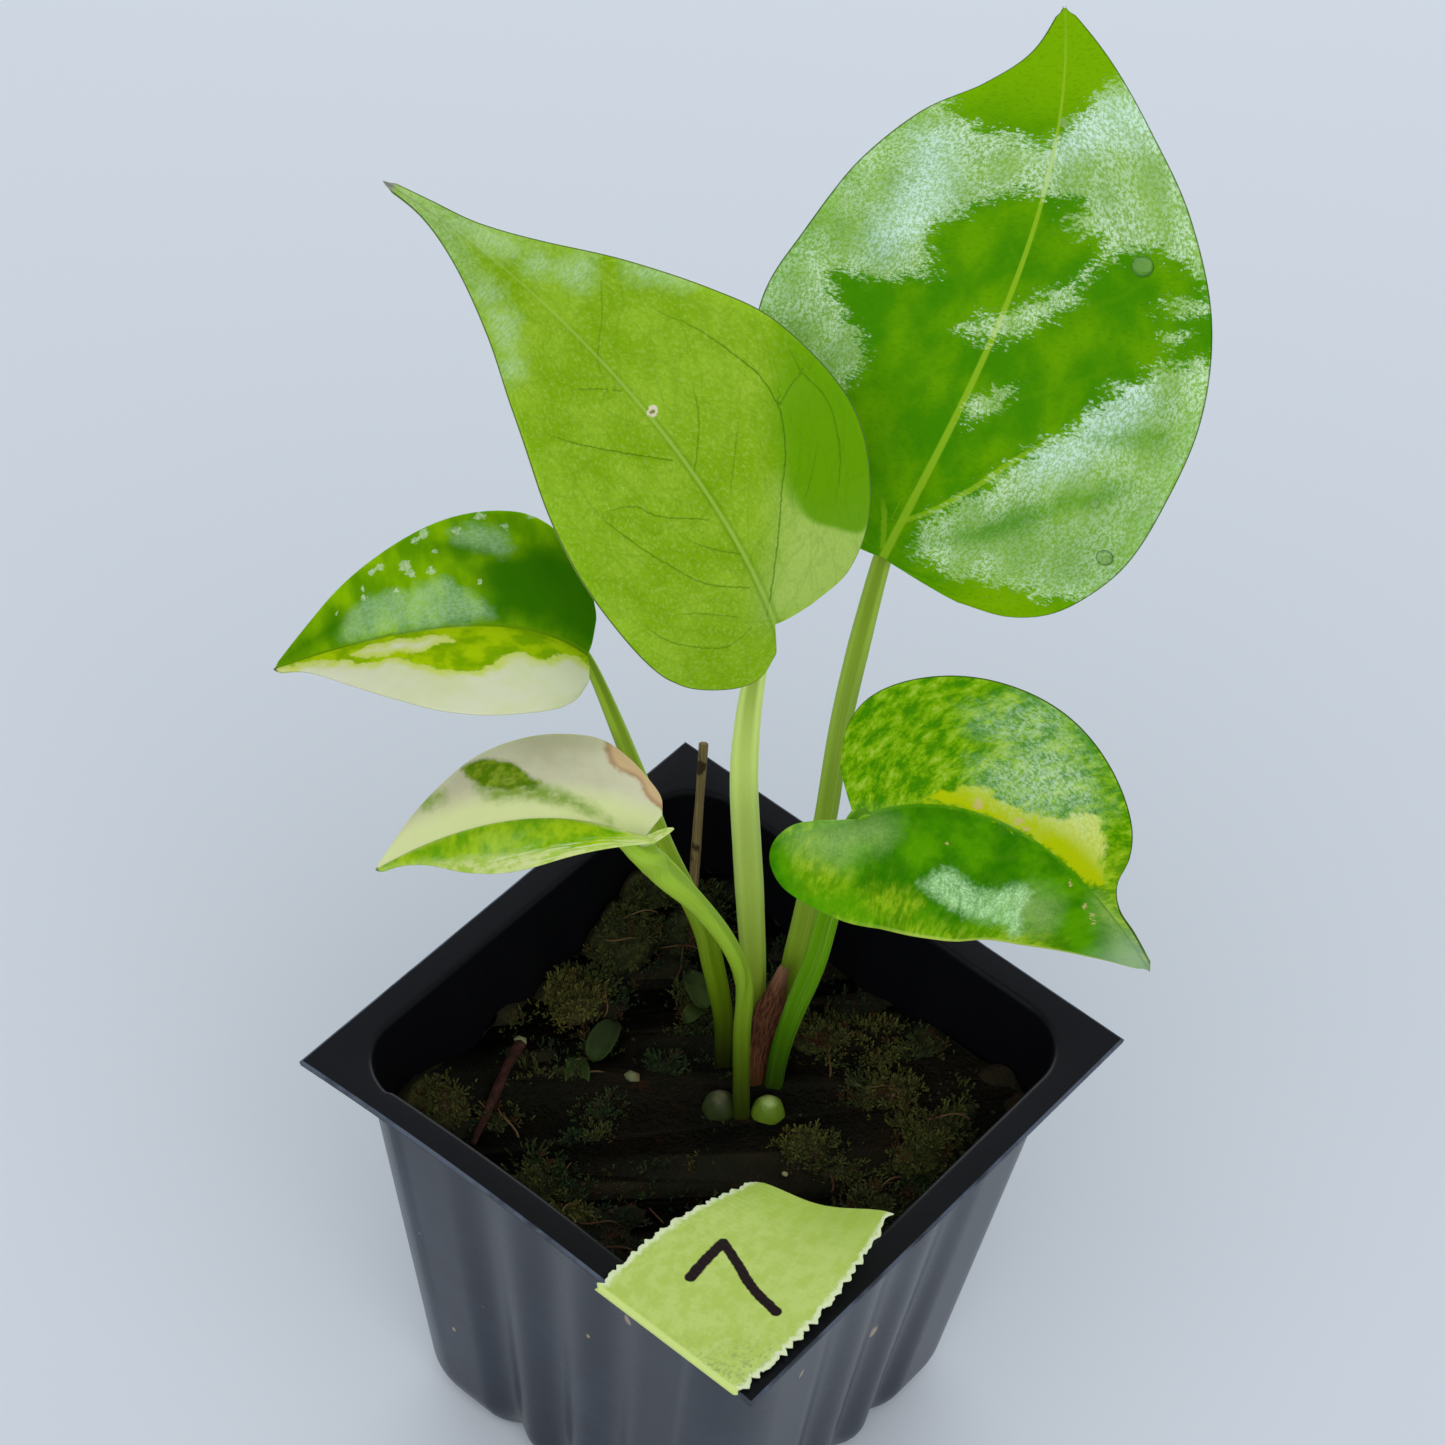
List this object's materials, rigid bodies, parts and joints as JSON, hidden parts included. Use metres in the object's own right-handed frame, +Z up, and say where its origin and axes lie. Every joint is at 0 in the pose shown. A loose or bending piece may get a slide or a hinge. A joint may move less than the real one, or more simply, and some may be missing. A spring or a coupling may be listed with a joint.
{
  "type": "potted variegated anthurium plant",
  "caption": "Young anthurium with heart-shaped, green and cream variegated leaves, growing from mossy soil in a square black nursery pot with a paper label over one corner of its rim.",
  "frame": {"origin": "middle of the pot's base, on the surface that the pot stands on", "axes": "+Z up, X and Y along the sides of the square pot; the paper label lies over the corner at +X, -Y"},
  "size_m": [0.0898, 0.0918, 0.167],
  "materials": {
    "pot_plastic": "thin black polypropylene, glossy inside, satin outside, with dust and scuffs",
    "soil": "dark damp peat with moss and bark crumbs",
    "rootstock": "dull brown-green bark",
    "root_tip": "smooth, faintly shiny green",
    "petiole": "smooth waxy pale green with fine long ridges",
    "leaf_green": "glossy deep green with a pale midrib",
    "leaf_lime": "satin light yellow-green with dark thread veins",
    "leaf_variegated": "glossy green mottled with yellow and cream sectors",
    "leaf_cream": "satin cream with green patches and one scorched edge",
    "sheath": "dry papery reddish brown",
    "straw": "dry matte tan",
    "label_paper": "matte yellow-green crepe paper with torn ends"
  },
  "bodies": {
    "root": {"pot": "pot_plastic", "soil": "soil", "rootstock": "rootstock", "root_tip_1": "root_tip", "root_tip_2": "root_tip", "petiole_1": "petiole", "petiole_2": "petiole", "petiole_3": "petiole", "petiole_4": "petiole", "petiole_5": "petiole", "blade_1": "leaf_green", "blade_2": "leaf_lime", "blade_3": "leaf_variegated", "blade_4": "leaf_cream", "blade_5": "leaf_variegated", "sheath": "sheath", "straw": "straw", "label": "label_paper"}
  },
  "joints": []
}
